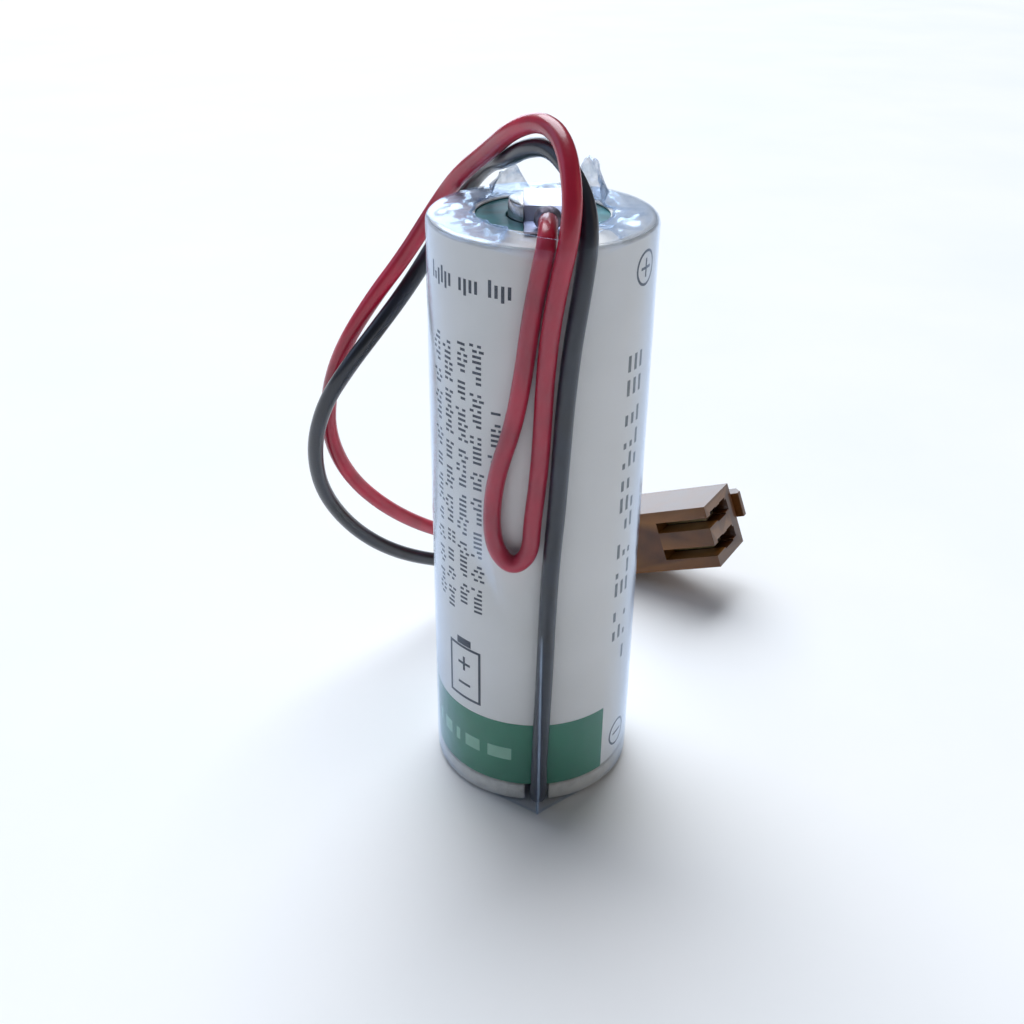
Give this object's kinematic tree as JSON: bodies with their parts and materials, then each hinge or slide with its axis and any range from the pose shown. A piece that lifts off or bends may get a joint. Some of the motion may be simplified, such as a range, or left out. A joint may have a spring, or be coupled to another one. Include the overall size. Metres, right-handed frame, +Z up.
{
  "type": "cylindrical battery cell",
  "caption": "Cylindrical primary battery cell with a labelled steel can, clear sleeve, two soldered wire leads and a small latching connector.",
  "frame": {"origin": "centre of the cell's base, on the surface it stands on", "axes": "+Z up along the cell, towards the positive end; -Y towards the side where the leads lie under the sleeve"},
  "size_m": [0.0448, 0.0464, 0.0585],
  "materials": {
    "can_steel": "nickel-plated deep-drawn steel, satin",
    "lid_steel": "stamped stainless steel, satin",
    "seal_glass": "fused sealing glass, dark green",
    "pin_alloy": "nickel iron pin, satin",
    "ball_steel": "welded steel ball",
    "cap_nickel": "nickel-plated steel cap",
    "insulator_board": "pressed insulating board",
    "washer_teal": "dark teal fibre washer",
    "lithium": "soft lithium foil, dull silver",
    "separator_fleece": "glass fibre fleece",
    "cathode_carbon": "pressed porous carbon",
    "collector_nickel": "nickel rod",
    "label_film": "white printed film with a green band",
    "tab_nickel": "rolled nickel strip",
    "solder": "tin solder, dull",
    "strand_copper": "tinned copper strands",
    "wire_red": "red PVC insulation",
    "wire_black": "black PVC insulation",
    "pad_fibre": "grey fibre pad",
    "disc_paper": "self-adhesive insulating paper",
    "sleeve_clear": "clear heat-shrink film",
    "plug_brown": "moulded brown nylon",
    "contact_brass": "tin-flashed brass"
  },
  "bodies": {
    "cell": {"can": "can_steel", "lid": "lid_steel", "glass_seal": "seal_glass", "terminal_pin": "pin_alloy", "fill_ball": "ball_steel", "positive_cap": "cap_nickel", "header_insulator": "insulator_board", "top_washer": "washer_teal", "anode": "lithium", "separator_tube": "separator_fleece", "bottom_insulator": "insulator_board", "cathode": "cathode_carbon", "current_collector": "collector_nickel", "top_insulator": "insulator_board", "label_sleeve": "label_film", "positive_tab": "tab_nickel", "negative_tab": "tab_nickel", "positive_solder": "solder", "negative_solder": "solder", "red_strands": "strand_copper", "black_strands": "strand_copper", "red_lead": "wire_red", "black_lead": "wire_black", "base_pad": "pad_fibre", "base_disc": "disc_paper", "clear_sleeve": "sleeve_clear", "connector_housing": "plug_brown", "contact_upper": "contact_brass", "contact_lower": "contact_brass"},
    "latch": {"latch_arm": "plug_brown"}
  },
  "joints": [
    {"name": "latch_press", "type": "hinge", "parent": "cell", "child": "latch", "pos_m": [0.01544, 0.03344, 0.00554], "axis": [0.3114, -0.221, -0.9242], "range_deg": [0, 3], "stiffness_Nm_per_rad": 0.02}
  ]
}
